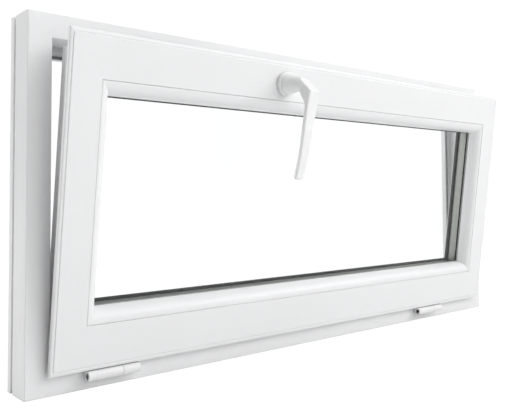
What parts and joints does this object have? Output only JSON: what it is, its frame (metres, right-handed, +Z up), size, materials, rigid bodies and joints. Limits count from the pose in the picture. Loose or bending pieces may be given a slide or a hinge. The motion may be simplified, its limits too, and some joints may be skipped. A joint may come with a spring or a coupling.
{
  "type": "bottom-hung tilt window",
  "caption": "White plastic tilt window: outer frame, double-glazed sash tipping inwards on bottom hinges, lever handle with locking rod, and a stay that limits the tilt.",
  "frame": {"origin": "on the underside of the sill, half-way along it and half-way through the frame's depth", "axes": "+X to the right as seen from the room, -Y into the room, +Z up; the sash is stored tipped 7.4 degrees into the room"},
  "size_m": [1.05, 0.1956, 0.5],
  "materials": {
    "white_plastic": "smooth white window plastic, satin gloss",
    "handle_white": "white powder coat, semi-gloss",
    "hinge_white": "white enamel, semi-gloss",
    "zinc_steel": "zinc plated, satin",
    "roller": "turned steel, smooth",
    "galvanised": "galvanised, dull",
    "seal": "grey rubber, matt",
    "black_seal": "black rubber, matt",
    "spacer": "mill finish, satin",
    "glass": "clear float glass",
    "setting_block": "moulded plastic packer"
  },
  "bodies": {
    "outer_frame": {"frame_head": "white_plastic", "frame_sill": "white_plastic", "frame_jamb_left": "white_plastic", "frame_jamb_right": "white_plastic", "frame_steel_top": "galvanised", "frame_steel_bottom": "galvanised", "frame_steel_left": "galvanised", "frame_steel_right": "galvanised", "frame_seal": "seal", "drain_cap_left": "white_plastic", "drain_cap_right": "white_plastic", "hinge_frame_leaf_left": "hinge_white", "hinge_frame_leaf_right": "hinge_white", "hinge_pin_left": "zinc_steel", "hinge_pin_right": "zinc_steel", "striker_left": "zinc_steel", "striker_right": "zinc_steel", "stay_bracket": "zinc_steel", "stay_pivot_pin": "zinc_steel"},
    "sash": {"sash_top_rail": "white_plastic", "sash_bottom_rail": "white_plastic", "sash_stile_left": "white_plastic", "sash_stile_right": "white_plastic", "sash_steel_top": "galvanised", "sash_steel_bottom": "galvanised", "sash_steel_left": "galvanised", "sash_steel_right": "galvanised", "glazing_bead_top": "white_plastic", "glazing_bead_bottom": "white_plastic", "glazing_bead_left": "white_plastic", "glazing_bead_right": "white_plastic", "glass_inner": "glass", "glass_outer": "glass", "glass_spacer": "spacer", "glazing_gasket_inner": "seal", "glazing_gasket_outer": "black_seal", "setting_block_left": "setting_block", "setting_block_right": "setting_block", "sash_seal": "seal", "sash_seal_bottom": "seal", "hinge_sash_leaf_left": "hinge_white", "hinge_sash_leaf_right": "hinge_white", "gear_faceplate": "zinc_steel", "gear_box": "zinc_steel", "stay_track": "zinc_steel", "handle_rosette": "handle_white", "handle_base": "zinc_steel", "handle_screw_left": "zinc_steel", "handle_screw_right": "zinc_steel"},
    "handle": {"handle_lever": "handle_white", "handle_spindle": "zinc_steel", "gear_pinion": "zinc_steel"},
    "locking_rod": {"drive_rod": "zinc_steel", "locking_cam_left": "roller", "locking_cam_right": "roller"},
    "stay": {"stay_arm": "zinc_steel", "stay_stud": "zinc_steel"}
  },
  "joints": [
    {"name": "sash_tilt", "type": "hinge", "parent": "outer_frame", "child": "sash", "pos_m": [0, -0.04, 0.0195], "axis": [1, 0, 0], "range_deg": [-7.4, 0]},
    {"name": "handle_turn", "type": "hinge", "parent": "sash", "child": "handle", "pos_m": [-0.135, -0.08405, 0.4363], "axis": [0, -0.9917, -0.1288], "range_deg": [0, 90]},
    {"name": "rod_slide", "type": "slide", "parent": "sash", "child": "locking_rod", "axis": [-1, 0, 0], "range_m": [0, 0.0136]},
    {"name": "stay_swing", "type": "hinge", "parent": "outer_frame", "child": "stay", "pos_m": [-0.425, -0.008, 0.4585], "axis": [0, 0, 1], "range_deg": [0, 19.7]}
  ],
  "couplings": [
    {"joint": "rod_slide", "follows": "handle_turn", "m_per_rad": 0.0086},
    {"joint": "stay_swing", "follows": "sash_tilt", "ratio": -2.6381}
  ]
}
